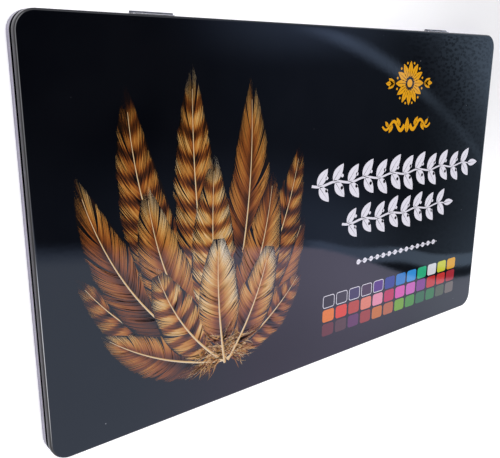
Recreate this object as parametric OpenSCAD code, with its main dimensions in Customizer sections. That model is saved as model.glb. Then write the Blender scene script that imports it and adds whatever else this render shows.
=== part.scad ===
// A flat hinged tin that holds one row of colouring pencils.
// It lies closed on its base: X runs along the row, +Y towards the hinges, +Z up out of the lid.
// The origin is the middle of the underside. The tin is sized from the outside of its contents:
// the pencils set the tray, the tray sets the base, and the base sets the lid.

/* [Pencils] */
// Number of pencils in the row
pencil_count = 36; // [6:1:50]
// Width of a pencil across two opposite flats
pencil_flats = 6.9; // [5:0.1:9]
// Length of a sharpened pencil, from butt to point
pencil_length = 175; // [120:1:220]
// Radius of the coloured lead
lead_radius = 1.6; // [0.8:0.1:2.2]
// Thickness of the glue between a lead and its casing
glue_line = 0.05; // [0.02:0.01:0.1]
// Half of the angle of the sharpened cone, in degrees
cone_half_angle = 11.5; // [9:0.5:16]
// Radius of the worn point
point_radius = 0.25; // [0.1:0.05:0.5]

/* [Tray] */
// Thickness of the plastic sheet
tray_sheet = 0.35; // [0.2:0.05:0.6]
// Clearance between a pencil's corners and its groove
groove_clearance = 0.12; // [0.05:0.01:0.4]
// Width of the flat land between two grooves
groove_land = 0.4; // [0.2:0.1:4]
// How far the lands lie below the middles of the pencils
land_drop = 0.6; // [0.3:0.1:2]
// How far the grooves' undersides clear the floor of the tin
groove_lift = 0.05; // [0.02:0.01:0.3]
// Play between the pencils' butts and the tray's front wall
end_play = 1; // [0.5:0.1:4]
// Room for a fingertip between the points and the tray's rear wall
finger_room = 9; // [6:0.5:20]
// How far the points reach out over the finger trough
point_overhang = 16; // [8:0.5:30]
// Width of the tray's rim at the two short sides
side_rim = 4.7; // [2:0.1:12]
// Width of the tray's rim at the front and the rear
end_rim = 3; // [2:0.1:12]
// How far the tray's rim lies below the top of the base's neck
rim_drop = 1; // [0.3:0.1:2]
// Height of the lip that turns down round the rim
lip_height = 2; // [1:0.1:4]
// Radius of the well's corners, seen from above
well_corner = 2.5; // [1:0.1:4]
// Gap between the tray's edge and the base's hem
tray_gap = 0.4; // [0.2:0.05:1]

/* [Tinplate] */
// Thickness of the tinplate
plate = 0.3; // [0.2:0.05:0.4]
// Diameter of the hem that takes the sharp edge off the lid and the neck
hem = 0.7; // [0.6:0.05:1]
// Radius of the tin's corners, seen from above
corner_radius = 9; // [6:0.5:16]

/* [Base] */
// Radius of the bottom edge
base_edge_radius = 2; // [1:0.1:2.4]
// Gap that shows between the base's shoulder and the lid's lower edge
shoulder_gap = 1.8; // [1.4:0.1:2.4]
// How far the neck reaches up inside the lid's skirt
neck_reach = 1.8; // [1:0.1:1.8]
// Clearance between the neck and the lid's hem
neck_clearance = 0.35; // [0.2:0.05:0.8]

/* [Lid] */
// Radius of the rolled edge round the lid's face
lid_edge_radius = 0.9; // [0.5:0.1:1.2]
// Height of the skirt, from the lid's face to its lower edge
skirt_height = 3.7; // [3.5:0.1:4.5]
// Thickness of the foam liner
liner_thickness = 1.5; // [0.8:0.1:1.8]
// Gap between the liner's edge and the neck's hem
liner_margin = 1; // [0.5:0.1:4]
// Free height between the pencils and the liner
headroom = 0.9; // [0.5:0.1:4]

/* [Hinges] */
// Length of a hinge
hinge_length = 21; // [16:1:30]
// Distance between the middles of the two hinges
hinge_spacing = 202; // [120:1:250]
// Thickness of the hinge leaves
leaf_plate = 0.3; // [0.2:0.05:0.5]
// Outer radius of the rolled knuckles
knuckle_radius = 0.65; // [0.6:0.05:1.5]
// Length of the middle knuckle, which belongs to the lid's leaf
middle_knuckle = 8.4; // [5:0.1:10]
// Gap between two knuckles, and between a knuckle and the other leaf
knuckle_gap = 0.3; // [0.2:0.05:0.6]
// Gap between the knuckles and the tin's rear wall
wall_gap = 0.05; // [0.03:0.01:0.3]
// Distance between a leaf's far edge and the tin's rolled edge
leaf_margin = 0.4; // [0.2:0.1:0.6]
// Radius of the hinge pin
pin_radius = 0.3; // [0.25:0.05:0.6]
// Running clearance between the pin and the knuckles, on the radius
pin_clearance = 0.05; // [0.01:0.01:0.1]
// How far each end of the pin lies inside its knuckle
pin_inset = 0.2; // [0.1:0.05:0.5]

/* [Hidden] */
pencil_names = [for (i = [1 : pencil_count]) str("pencil_", i < 10 ? "0" : "", i)];

$fn = 64;
cut = 1; // how far a cutting shape runs past what it cuts

// The row of pencils
pencil_corner = pencil_flats / 2 / cos(30);
groove_radius = pencil_corner + groove_clearance;
groove_pitch = 2 * groove_radius + groove_land;
pencil_z = plate + tray_sheet + groove_lift + groove_radius;
land_z = pencil_z - land_drop;
bore_radius = lead_radius + glue_line;

// Insets from the tin's outer outline
neck_inset = hem + neck_clearance;
mouth_inset = neck_inset + hem;
tray_inset = mouth_inset + tray_gap;

// The well that the grooves lie in, and the tin round it
well_length = pencil_count * groove_pitch;
well_width = end_play + pencil_length + finger_room;
tin_length = well_length + 2 * (tray_sheet + side_rim + tray_inset);
tin_width = well_width + 2 * (tray_sheet + end_rim + tray_inset);
butt_y = -well_width / 2 + end_play;
trough_y = butt_y + pencil_length - point_overhang;

// Heights above the underside
liner_z = pencil_z + pencil_corner + headroom;
lid_inside_z = liner_z + liner_thickness;
tin_height = lid_inside_z + plate;
skirt_z = tin_height - skirt_height;
shoulder_z = skirt_z - shoulder_gap;
neck_z = skirt_z + neck_reach;
rim_z = neck_z - rim_drop;

// The hinge axis lies behind the rear wall, half-way up the gap between the base and the lid
axis_offset = knuckle_radius + wall_gap;
axis_y = tin_width / 2 + axis_offset;
axis_z = skirt_z - shoulder_gap / 2;
leaf_clear = knuckle_radius + knuckle_gap;

// A colour of the wheel for a share from 0 to 1 of the way round
function wheel_channel(share, turn) = max(0, min(1, abs(6 * ((share + turn) % 1) - 3) - 1));
function wheel_colour(share) = [for (turn = [0, 2 / 3, 1 / 3]) wheel_channel(share, turn)];

// A rectangle with rounded corners
module outline(length, width, radius) {
  square([length - 2 * radius, width], center = true);
  square([length, width - 2 * radius], center = true);
  for (x = [-1, 1], y = [-1, 1])
    translate([x * (length / 2 - radius), y * (width / 2 - radius)]) circle(radius);
}

// A wall that follows a rounded outline
module wall(length, width, radius, thickness, height) {
  linear_extrude(height)
    difference() {
      outline(length, width, radius);
      outline(length - 2 * thickness, width - 2 * thickness, radius - thickness);
    }
}

// Draws one quarter of the tin and its three mirror images
module four_quarters() {
  for (x = [0, 1], y = [0, 1]) mirror([x, 0, 0]) mirror([0, y, 0]) children();
}

// A pressed pan: a flat middle at a height, and a profile carried round it. The profile's x is 0
// at the centre of the corners and corner_radius at the tin's outer outline, and its y is the height.
module pan(middle_z) {
  reach_x = tin_length / 2 - corner_radius;
  reach_y = tin_width / 2 - corner_radius;
  four_quarters() {
    translate([0, 0, middle_z]) cube([reach_x, reach_y, plate]);
    translate([reach_x, reach_y, 0]) {
      rotate_extrude(angle = 90) children();
      rotate([90, 0, 0]) linear_extrude(reach_y) children();
      rotate([90, 0, 90]) mirror([0, 0, 1]) linear_extrude(reach_x) children();
    }
  }
}

// A quarter of a bent sheet, from its flat at y = 0 to its wall at x = 0
module bend(radius) {
  translate([-radius, radius])
    intersection() {
      difference() {
        circle(radius);
        circle(radius - plate);
      }
      translate([0, -radius]) square(radius);
    }
}

module base_profile() {
  square([corner_radius - base_edge_radius, plate]);
  translate([corner_radius, 0]) bend(base_edge_radius);
  translate([corner_radius - plate, base_edge_radius]) square([plate, shoulder_z - base_edge_radius]);
  translate([corner_radius - neck_inset - plate, shoulder_z - plate]) square([neck_inset + plate, plate]);
  translate([corner_radius - neck_inset - plate, shoulder_z - plate])
    square([plate, neck_z - hem / 2 - shoulder_z + plate]);
  translate([corner_radius - neck_inset - hem / 2, neck_z - hem / 2]) circle(hem / 2);
}

module lid_profile() {
  translate([0, lid_inside_z]) square([corner_radius - lid_edge_radius, plate]);
  translate([corner_radius, tin_height]) mirror([0, 1]) bend(lid_edge_radius);
  translate([corner_radius - plate, skirt_z + hem / 2])
    square([plate, skirt_height - lid_edge_radius - hem / 2]);
  translate([corner_radius - hem / 2, skirt_z + hem / 2]) circle(hem / 2);
}

// The base: a pressed pan with a shoulder, and a hemmed neck that the lid closes over
module base_tin() {
  color("lightsteelblue") pan(0) base_profile();
}

// The lid: a pressed pan with a rolled edge and a hemmed skirt
module lid_tin() {
  color([0.06, 0.07, 0.09]) pan(lid_inside_z) lid_profile();
}

// A thin foam sheet, glued inside the lid
module lid_liner() {
  inset = mouth_inset + liner_margin;
  color("whitesmoke")
    translate([0, 0, liner_z])
      linear_extrude(liner_thickness)
        outline(tin_length - 2 * inset, tin_width - 2 * inset, corner_radius - inset);
}

// Draws its child once at the middle of each groove
module at_each_groove() {
  for (i = [0 : pencil_count - 1]) translate([(i - (pencil_count - 1) / 2) * groove_pitch, pencil_z]) children();
}

// The formed sheet under the pencils, seen along them
module groove_profile() {
  difference() {
    at_each_groove() circle(groove_radius + tray_sheet);
    at_each_groove() circle(groove_radius);
    translate([-well_length / 2 - cut, land_z]) square([well_length + 2 * cut, 2 * groove_radius]);
  }
}

// The step that closes the ends of the grooves at the trough
module step_profile() {
  difference() {
    translate([-well_length / 2 - cut, plate]) square([well_length + 2 * cut, land_z - plate]);
    at_each_groove() circle(groove_radius);
  }
}

// Stands a profile up across the tin, from one y to another
module across(from_y, to_y) {
  translate([0, to_y, 0]) rotate([90, 0, 0]) linear_extrude(to_y - from_y) children();
}

// The tray's bed: the sheet formed into grooves, and the floor of the finger trough
module tray_bed() {
  color("white")
    intersection() {
      linear_extrude(rim_z) outline(well_length, well_width, well_corner);
      union() {
        across(-well_width / 2 - cut, trough_y) groove_profile();
        across(trough_y - tray_sheet, trough_y) step_profile();
        translate([-well_length / 2 - cut, trough_y - tray_sheet, plate])
          cube([well_length + 2 * cut, well_width / 2 - trough_y + tray_sheet + cut, tray_sheet]);
      }
    }
}

// The tray's frame: the walls of the well, the flat rim and the lip that turns down round it.
// It meets the bed face to face, as two parts of one formed sheet.
module tray_frame() {
  wall_length = well_length + 2 * tray_sheet;
  wall_width = well_width + 2 * tray_sheet;
  rim_length = tin_length - 2 * tray_inset;
  rim_width = tin_width - 2 * tray_inset;
  rim_corner = corner_radius - tray_inset;
  color("white") {
    translate([0, 0, plate])
      wall(wall_length, wall_width, well_corner + tray_sheet, tray_sheet, rim_z - plate);
    translate([0, 0, rim_z - tray_sheet])
      linear_extrude(tray_sheet)
        difference() {
          outline(rim_length, rim_width, rim_corner);
          outline(wall_length - tray_sheet, wall_width - tray_sheet, well_corner + tray_sheet / 2);
        }
    translate([0, 0, rim_z - lip_height]) wall(rim_length, rim_width, rim_corner, tray_sheet, lip_height);
  }
}

// How far from the point the sharpened cone has a given radius
function cone_depth(radius) = (radius - point_radius) / tan(cone_half_angle);

// The painted wooden casing: a six-sided stick with a round bore, cut to a cone
module casing() {
  outside = pencil_corner + cut;
  difference() {
    intersection() {
      rotate(30) cylinder(h = pencil_length, r = pencil_corner, $fn = 6);
      rotate_extrude()
        polygon([
          [0, -cut],
          [outside, -cut],
          [outside, pencil_length - cone_depth(outside)],
          [bore_radius, pencil_length - cone_depth(bore_radius)],
          [0, pencil_length - cone_depth(bore_radius)]
        ]);
    }
    translate([0, 0, -cut]) cylinder(h = pencil_length + 2 * cut, r = bore_radius);
  }
}

// The lead: a coloured core from the butt to the point
module lead() {
  rotate_extrude()
    polygon([
      [0, 0],
      [lead_radius, 0],
      [lead_radius, pencil_length - cone_depth(lead_radius)],
      [point_radius, pencil_length],
      [0, pencil_length]
    ]);
}

// One pencil, counted from 0 at the left, with its point towards the hinges
module pencil(i) {
  color(wheel_colour(i / pencil_count))
    translate([(i - (pencil_count - 1) / 2) * groove_pitch, butt_y, pencil_z])
      rotate([-90, 0, 0]) {
        casing();
        lead();
      }
}

// A stretch of knuckle, centred on the hinge axis, from one x to another
module knuckle(from_x, to_x) {
  translate([from_x, 0, 0]) rotate([0, 90, 0]) cylinder(h = to_x - from_x, r = knuckle_radius);
}

// A flat piece of leaf against the rear wall, between two corners in x and z
module leaf(low, high) {
  translate([low[0], -axis_offset, low[1]]) cube([high[0] - low[0], leaf_plate, high[1] - low[1]]);
}

module pin_bore() {
  translate([-hinge_length / 2 - cut, 0, 0])
    rotate([0, 90, 0]) cylinder(h = hinge_length + 2 * cut, r = pin_radius + pin_clearance);
}

// Draws its child at the left hinge, side = -1, or the right one, side = 1
module at_hinge(side) {
  translate([side * hinge_spacing / 2, axis_y, axis_z]) children();
}

// The base's leaf, with a knuckle at each end
module base_hinge_leaf(side) {
  half = hinge_length / 2;
  inner = middle_knuckle / 2 + knuckle_gap;
  low_z = base_edge_radius + leaf_margin - axis_z;
  color("dimgray")
    at_hinge(side)
      difference() {
        union() {
          leaf([-half, low_z], [half, -leaf_clear]);
          for (end = [-1, 1]) {
            leaf([min(end * half, end * inner), low_z], [max(end * half, end * inner), 0]);
            knuckle(min(end * half, end * inner), max(end * half, end * inner));
          }
        }
        pin_bore();
      }
}

// The lid's leaf, with one knuckle in the middle
module lid_hinge_leaf(side) {
  half = hinge_length / 2;
  inner = middle_knuckle / 2;
  high_z = tin_height - lid_edge_radius - leaf_margin - axis_z;
  color("dimgray")
    at_hinge(side)
      difference() {
        union() {
          leaf([-half, leaf_clear], [half, high_z]);
          leaf([-inner, 0], [inner, high_z]);
          knuckle(-inner, inner);
        }
        pin_bore();
      }
}

// A wire pin through the three knuckles
module hinge_pin(side) {
  color("silver")
    at_hinge(side)
      translate([pin_inset - hinge_length / 2, 0, 0])
        rotate([0, 90, 0]) cylinder(h = hinge_length - 2 * pin_inset, r = pin_radius);
}

base_tin();
tray_bed();
tray_frame();
lid_tin();
lid_liner();
base_hinge_leaf(-1);  // base_hinge_leaf_left
base_hinge_leaf(1);  // base_hinge_leaf_right
lid_hinge_leaf(-1);  // lid_hinge_leaf_left
lid_hinge_leaf(1);  // lid_hinge_leaf_right
hinge_pin(-1);  // hinge_pin_left
hinge_pin(1);  // hinge_pin_right
for (i = [0 : pencil_count - 1]) pencil(i);
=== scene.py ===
# %% [markdown]
# # A flat tin of colouring pencils
# The object is a shallow box of pressed tinplate, 324 mm long, with a hinged lid that is printed gloss
# black. It lies closed on a pale table. Under the lid are a sheet of foam, a formed plastic tray and
# one row of 36 sharpened pencils, so the script builds those too and they show when the lid swings open.
#
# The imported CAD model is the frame: it says where each piece is and how it moves. This script gives
# each piece the fine shape and the finish that the plain solids lack, one piece at a time.

import math
import random

import bpy
from mathutils import Matrix, Vector


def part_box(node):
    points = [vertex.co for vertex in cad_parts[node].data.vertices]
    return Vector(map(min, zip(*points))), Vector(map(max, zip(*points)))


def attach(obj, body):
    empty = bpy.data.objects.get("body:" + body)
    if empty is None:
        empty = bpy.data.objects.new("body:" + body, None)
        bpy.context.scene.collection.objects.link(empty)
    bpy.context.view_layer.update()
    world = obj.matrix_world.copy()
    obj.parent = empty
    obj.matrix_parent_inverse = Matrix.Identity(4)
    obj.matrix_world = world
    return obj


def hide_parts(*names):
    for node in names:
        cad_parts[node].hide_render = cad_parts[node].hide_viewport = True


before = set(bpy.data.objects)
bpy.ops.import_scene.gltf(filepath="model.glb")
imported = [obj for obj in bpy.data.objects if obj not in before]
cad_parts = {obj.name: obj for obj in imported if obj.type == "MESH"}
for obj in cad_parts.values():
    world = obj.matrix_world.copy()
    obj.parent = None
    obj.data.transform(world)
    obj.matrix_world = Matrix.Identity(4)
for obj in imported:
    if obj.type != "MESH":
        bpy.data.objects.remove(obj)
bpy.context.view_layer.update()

# %% [markdown]
# ## Millimetres
# A tin maker thinks in millimetres and Blender in metres. Every size below is in millimetres and is
# turned into metres only where a mesh is made. The overall sizes are read off the CAD nodes, so the
# fine pieces always fit what they stand for. The sheet sizes are the tin's own drawing values.

# %% Read the main sizes off the frame
MM = 0.001


def node_box(node):
    """The lowest and highest corners of a CAD node, in millimetres."""
    low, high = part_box(node)
    return Vector(low) / MM, Vector(high) / MM


lid_low, lid_high = node_box("lid_tin")
base_high = node_box("base_tin")[1]
liner_low, liner_high = node_box("lid_liner")
frame_low, frame_high = node_box("tray_frame")
tin_length = lid_high.x - lid_low.x
tin_width = lid_high.y - lid_low.y
tin_top = lid_high.z
skirt_bottom = lid_low.z
print(f"tin {tin_length:.1f} x {tin_width:.1f} x {tin_top:.2f} mm, lid from {skirt_bottom:.2f} mm up")

# %% Set the sheet sizes
plate = 0.3
hem = 0.7
corner_radius = 9.0
lid_edge = 0.9
base_edge = 2.0
neck_inset = 1.05
neck_top = base_high.z
shoulder_z = skirt_bottom - 1.8
print(f"tinplate {plate} mm, hem {hem} mm, neck top at {neck_top:.2f} mm")

# %% [markdown]
# ## The camera
# The tin is seen from above and to the left of its long side, through a lens a little longer than
# normal, so the near edge of the lid looks much longer than the far one. The camera's right, up and
# back directions are written out, because a tilted view like this has no simple angles.

# %% Place the camera
camera_place = Vector((-240.3, 77.0, 256.8)) * MM
camera_back = Vector((-0.5932, 0.2565, 0.7631)).normalized()
camera_right = Vector((0.1529, 0.9665, -0.2060)).cross(camera_back).normalized()
camera_up = camera_back.cross(camera_right)
turned = Matrix((camera_right, camera_up, camera_back)).transposed().to_4x4()
lens = bpy.data.cameras.new("camera")
lens.sensor_width = 36.0
lens.lens = 44.35
lens.clip_start = 0.01
camera = bpy.data.objects.new("camera", lens)
camera.matrix_world = Matrix.Translation(camera_place) @ turned
bpy.context.scene.collection.objects.link(camera)
bpy.context.scene.camera = camera
bpy.context.scene.view_settings.view_transform = "Standard"
print("camera", [round(c, 3) for c in camera_place], "m, lens", lens.lens, "mm")

# %% [markdown]
# ## A short way to write nodes
# Materials and the world are graphs of nodes. Written out in full, each node takes five lines. Here a
# node's output is kept as a Wire, and Python's own signs work on wires: a + b adds a Math node that
# both are linked to. So a graph reads like a sum, and each new node finds its tree through its wires.


# %% Wires
class Wire:
    """A node's output. Arithmetic with wires adds Math nodes."""

    def __init__(self, node, output=0):
        self.socket = node.outputs[output]
        self.tree = node.id_data

    def __add__(self, other):
        return calc("ADD", self, other)

    def __sub__(self, other):
        return calc("SUBTRACT", self, other)

    def __rsub__(self, other):
        return calc("SUBTRACT", self, other, swapped=True)

    def __mul__(self, other):
        return calc("MULTIPLY", self, other)

    def __truediv__(self, other):
        return calc("DIVIDE", self, other)

    def __abs__(self):
        return calc("ABSOLUTE", self, 0.0)


def calc(operation, a, b, swapped=False):
    """One step of arithmetic on a wire and a wire or number."""
    inputs = {1: a, 0: b} if swapped else {0: a, 1: b}
    return wire(a.tree, "ShaderNodeMath", inputs, operation=operation)


def larger(a, b):
    """The larger of a wire and a wire or number."""
    return calc("MAXIMUM", a, b)


print("wires can be added, subtracted, multiplied and divided")


# %% Nodes
def feed(node, inputs):
    """Sets a node's inputs. An input that is given a wire is linked to it."""
    for name, value in inputs.items():
        if isinstance(value, Wire):
            value.tree.links.new(value.socket, node.inputs[name])
        else:
            node.inputs[name].default_value = value


def wire(tree, kind, inputs=None, output=0, **settings):
    """A new node of that kind, as the wire from one of its outputs."""
    node = tree.nodes.new(kind)
    for name, value in settings.items():
        setattr(node, name, value)
    feed(node, inputs or {})
    return Wire(node, output)


def ramp(value, low, high, to_low=0.0, to_high=1.0):
    """A smooth step: to_low below low, to_high above high."""
    inputs = {"Value": value, "From Min": low, "From Max": high, "To Min": to_low, "To Max": to_high}
    return wire(value.tree, "ShaderNodeMapRange", inputs, interpolation_type="SMOOTHSTEP")


def bell(value, middle, width):
    """1 at the middle, fading to 0 a width away."""
    return ramp(abs(value - middle), 0.0, width, 1.0, 0.0)


def mixed(share, first, second):
    """A colour between two, by a share from 0 to 1."""
    return wire(share.tree, "ShaderNodeMix", {0: share, 6: first, 7: second}, 2, data_type="RGBA")


def axes(place):
    """The x, y and z wires of a place or direction."""
    split = wire(place.tree, "ShaderNodeSeparateXYZ", {0: place}).socket.node
    return [Wire(split, axis) for axis in range(3)]


print("node helpers ready")


# %% Colours
def ink(code, share=1.0):
    """A colour from six hex digits, in the linear numbers that Blender works with, darker if asked."""
    parts = [int(code[i:i + 2], 16) / 255 for i in (0, 2, 4)]
    linear = [p / 12.92 if p <= 0.04045 else ((p + 0.055) / 1.055) ** 2.4 for p in parts]
    return darker(linear, share)


def darker(colour, share):
    """That share of a colour's light."""
    return (*[c * share for c in colour[:3]], 1.0)


print("mid grey is", round(ink("808080")[0], 3), "in linear numbers")

# %% [markdown]
# ## The studio
# A gloss black lid has almost no colour of its own: what the eye sees is the room in it. So the room
# is drawn by direction. A pale table and backdrop stand round the horizon and fill the front half,
# with a clean edge where they end. Overhead it is dark, with a few soft glows.
#
# Two numbers say where a direction meets a flat ceiling: how far across, and how far along. A third,
# above, is how far past the table's edge it is. Each part of the room is made of ramps in these.


# %% The lit part of the room
def table_part(across, above):
    """The table: a clean edge, which is softer on the left, and a shelf of light past it on the right."""
    soft = ramp(across, 0.35, 0.95, 0.055, 0.014)
    table = 1.0 - ramp(above / soft + 0.5, 0.0, 1.0)
    edge_light = ramp(above, -0.28, -0.03, 0.0, 0.36) * ramp(across, 0.45, 0.85)
    lit = table * (edge_light + 1.05) * ramp(across, 1.05, 1.4, 1.0, 0.76)
    off = abs(above - ramp(across, 1.05, 1.35, 0.0, 0.056))
    shelf = ramp(off, 0.012, 0.030, 0.85, 0.0) * ramp(across, 0.85, 1.0)
    return table, lit, shelf


def bright_spots(x, y, z, across, along):
    """Tall soft windows on the left and behind, and a small lamp high on the left, for the rolled edges."""
    left = ramp(x, -0.25, -0.05, 2.6, 0.0) * ramp(y, -0.30, 0.0, 0.85, 1.6)
    behind = ramp(along, 0.12, 0.40) * ramp(across, 0.55, 0.85, 1.6, 0.5)
    tall = ramp(z, 0.15, 0.42) * ramp(z, 0.76, 0.92, 1.0, 0.0)
    lamp_x = ramp(x, -0.36, -0.22, 16.0, 0.0) * ramp(x, -0.72, -0.62)
    lamp_y = ramp(y, -0.36, -0.26, 1.0, 0.0) * ramp(y, -0.60, -0.52)
    return larger(left, behind) * tall, lamp_x * lamp_y * ramp(z, 0.58, 0.68)


print("the table's edge is 0.055 soft on the left and 0.014 on the right")


# %% The dark part of the room
def mottles(across, along, over_fold):
    """Small dark things among light ones, in the corner past the fold."""
    place = wire(across.tree, "ShaderNodeCombineXYZ", {0: across, 1: along * 1.4})
    cells = {"Vector": place, "Scale": 72.0}
    things = wire(across.tree, "ShaderNodeTexVoronoi", cells, "Distance", voronoi_dimensions="2D")
    busy = ramp(across, 1.20, 1.34) * ramp(over_fold, -0.07, 0.03, 0.35, 1.0)
    return ramp(things, 0.18, 0.46, 0.66, 0.0) * (busy * ramp(across, 1.50, 1.60, 1.0, 0.55))


def dark_part(across, along, above):
    """The dark half: a glow over the table's edge, a fold of light, and a brighter corner with mottles."""
    glow = ramp(above, 0.06, 0.24, 0.28, 0.0) * ramp(across, 0.3, 1.0, 0.12, 1.0)
    glow = glow * ramp(across, 1.05, 1.3, 1.0, 0.4)
    side = ramp(across, 0.55, 0.85, 0.0, 0.065) + ramp(across, 1.30, 1.75, 0.0, 0.38)
    side = side * ramp(along, -0.35, 0.06, 0.62, 1.25)
    top = ramp(along, -0.01, 0.09, 0.0, 0.36) * bell(across, 0.92, 0.38)
    past = across - 1.0
    over_fold = along - 0.068 + past * (past * 0.42 + 0.25)
    fold_light = ramp(across, 0.85, 1.05) * ramp(across, 1.2, 1.45, 0.68, 0.14)
    fold = bell(over_fold, 0.0, 0.030) * fold_light
    corner = ramp(over_fold, 0.05, 0.26, 0.0, 0.40) * ramp(across, 1.1, 1.3)
    under_shelf = bell(above, 0.016, 0.035) * ramp(across, 1.1, 1.25, 0.0, 0.8)
    light = (glow + side + (top + corner)) * (1.0 - mottles(across, along, over_fold))
    return light * (1.0 - under_shelf) + fold + 0.015


print("the fold of light bends away past the middle")


# %% Put the room together
def room_tint(across, table, white):
    """The table is lavender in the middle and cooler on the left, the dark half is blue, the rest white."""
    warm = mixed(ramp(across, 0.45, 0.85), (0.85, 1.0, 1.33, 1.0), (1.06, 1.0, 1.42, 1.0))
    warm = mixed(ramp(across, 1.1, 1.5), warm, (0.97, 1.05, 1.32, 1.0))
    cool = mixed(ramp(across, 0.9, 1.45), (0.76, 1.02, 1.66, 1.0), (0.78, 1.05, 1.42, 1.0))
    return mixed(white, mixed(table, cool, warm), (1.0, 1.0, 1.06, 1.0))


def room_picture(tree):
    """How bright the room is in each direction, and what colour."""
    x, y, z = axes(wire(tree, "ShaderNodeTexCoord", output="Generated"))
    height = larger(z, 0.05)
    across = x / height
    along = y / height
    lean = across * 0.148 + ramp(across, 0.9, 1.5, 0.0, 0.115)
    above = along + 0.265 + lean
    table, lit, shelf = table_part(across, above)
    room = lit + (1.0 - table) * larger(dark_part(across, along, above), shelf)
    horizon = ramp(z, 0.15, 0.42, 1.0, 0.0)
    window, lamp_spot = bright_spots(x, y, z, across, along)
    light = larger(larger(room, horizon), larger(window, lamp_spot))
    return light, room_tint(across, table, larger(horizon, ramp(window, 0.2, 1.0)))


print("the room is a function of direction alone")

# %% [markdown]
# ## Two kinds of light
# Light for matt surfaces is kept apart from that picture: an even dome and one wide lamp, at a level
# where a colour renders as it is written. Light Path tells the two kinds of ray apart.

# %% Light the scene
dome_level = 0.68
lamp_strength = 1.1
lamp_way = Vector((0.40, 0.36, 0.84))
world = bpy.data.worlds.new("studio")
bpy.context.scene.world = world
world.use_nodes = True
sky = world.node_tree
sky.nodes.clear()
glossy, through, seen = [
    wire(sky, "ShaderNodeLightPath", output=f"Is {ray} Ray") for ray in ("Glossy", "Transmission", "Camera")
]
mirrored = larger(glossy, through)
lit = 1.0 - larger(mirrored, seen)
room_light, room_colour = room_picture(sky)
strength = mirrored * room_light + (seen + lit * dome_level)
cast = mixed(mirrored, (1.0, 0.995, 1.0, 1.0), room_colour)
sky_light = wire(sky, "ShaderNodeBackground", {"Color": cast, "Strength": strength})
feed(sky.nodes.new("ShaderNodeOutputWorld"), {"Surface": sky_light})

lamp = bpy.data.lights.new("key_lamp", "SUN")
lamp.energy = lamp_strength
lamp.angle = math.radians(50)
key = bpy.data.objects.new("key_lamp", lamp)
key.rotation_euler = lamp_way.to_track_quat("Z", "Y").to_euler()
key.visible_glossy = False
bpy.context.scene.collection.objects.link(key)
level = dome_level + lamp_strength * lamp_way.z / math.pi
print(f"an upright-facing matt surface gets {level:.2f} of its written colour")

# %% [markdown]
# ## Making a piece
# Every piece is a list of points and faces in millimetres. One helper turns them into an object, with
# its materials and smooth shading. A second one puts the piece on the body that it moves with and
# hides the CAD nodes that it stands for.


# %% Helpers that make a piece
def make_piece(name, points, faces, materials, face_materials=None, sharp_above=40.0):
    """An object from points in millimetres. Edges that bend more than sharp_above degrees stay sharp."""
    mesh = bpy.data.meshes.new(name)
    mesh.from_pydata([(x * MM, y * MM, z * MM) for x, y, z in points], [], faces)
    for material in materials:
        mesh.materials.append(material)
    if face_materials:
        mesh.polygons.foreach_set("material_index", face_materials)
    mesh.polygons.foreach_set("use_smooth", [True] * len(faces))
    mesh.validate()
    mesh.update()
    mesh.set_sharp_from_angle(angle=math.radians(sharp_above))
    made = bpy.data.objects.new(name, mesh)
    bpy.context.scene.collection.objects.link(made)
    return made


def settle(piece, body, slot, *nodes):
    """Puts a piece on its body and hides the CAD nodes that it stands for. The slot is not used."""
    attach(piece, body)
    if nodes:
        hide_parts(*nodes)
    print(f"{piece.name}: {len(piece.data.polygons)} faces, on {body}")


def gather(parts):
    """Several meshes as one list of points and one of faces."""
    points, faces = [], []
    for some_points, some_faces in parts:
        faces += [tuple(i + len(points) for i in face) for face in some_faces]
        points += some_points
    return points, faces


print("two squares make", len(gather([([0, 0, 0, 0], [(0, 1, 2, 3)])] * 2)[1]), "faces")

# %% [markdown]
# ## Finishes
# Nothing real is one flat colour. Each finish below starts from a clouded pair of colours, lets the
# roughness drift and gives the surface a shallow relief: the orange peel of a varnish, the grain of
# rolled metal or the pores of foam. The patterns read the object's own coordinates in metres, so
# neighbouring pieces share them.


# %% Helpers that make a finish
def new_finish(name, **constants):
    """A material, its tree and its shader, with plain numbers set on the shader's own sockets."""
    material = bpy.data.materials.new(name)
    material.use_nodes = True
    shader = material.node_tree.nodes["Principled BSDF"]
    feed(shader, {socket.replace("_", " "): value for socket, value in constants.items()})
    return material, material.node_tree, shader


def own_place(tree):
    """The object's own coordinates, in metres."""
    return wire(tree, "ShaderNodeTexCoord", output="Object")


def pattern(tree, size, stretch=None, detail=2.0):
    """Soft noise whose blobs are about size millimetres across, stretched along an axis if asked."""
    place = own_place(tree)
    if stretch:
        place = wire(tree, "ShaderNodeMapping", {"Vector": place, "Scale": stretch})
    return wire(tree, "ShaderNodeTexNoise", {"Vector": place, "Scale": 1.0 / (size * MM), "Detail": detail})


def clouded(tree, first, second, size, stretch=None):
    """A colour that drifts between two."""
    return mixed(ramp(pattern(tree, size, stretch), 0.3, 0.7), first, second)


def relief(height, depth, under=None):
    """A bump of that depth in millimetres, on top of another one if given."""
    inputs = {"Height": height, "Distance": depth * MM, "Strength": 1.0}
    if under is not None:
        inputs["Normal"] = under
    return wire(height.tree, "ShaderNodeBump", inputs)


print("finishes start with new_finish()")


# %% A finish with one grain
def grained(name, first, second, cloud, grain, gloss, depth, **constants):
    """Two clouded colours and one grain, which sets both the roughness and the relief."""
    material, tree, shader = new_finish(name, **constants)
    lines = pattern(tree, *grain)
    colour = clouded(tree, first, second, *cloud)
    feed(shader, {"Base Color": colour, "Roughness": ramp(lines, *gloss), "Normal": relief(lines, depth)})
    return material


print("grained() is for metal, paint and lead")

# %% [markdown]
# ## The table
# The table is a wide pale sheet, far larger than the view, so that no edge shows. It is a matt white
# with a faint cloudiness. A part of its brightness is its own, for the camera only, which takes it
# to paper white without more light on the tin, and the tin's soft shadow stays. Far to the right that
# part fades, so the white turns to a very pale grey.


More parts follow.
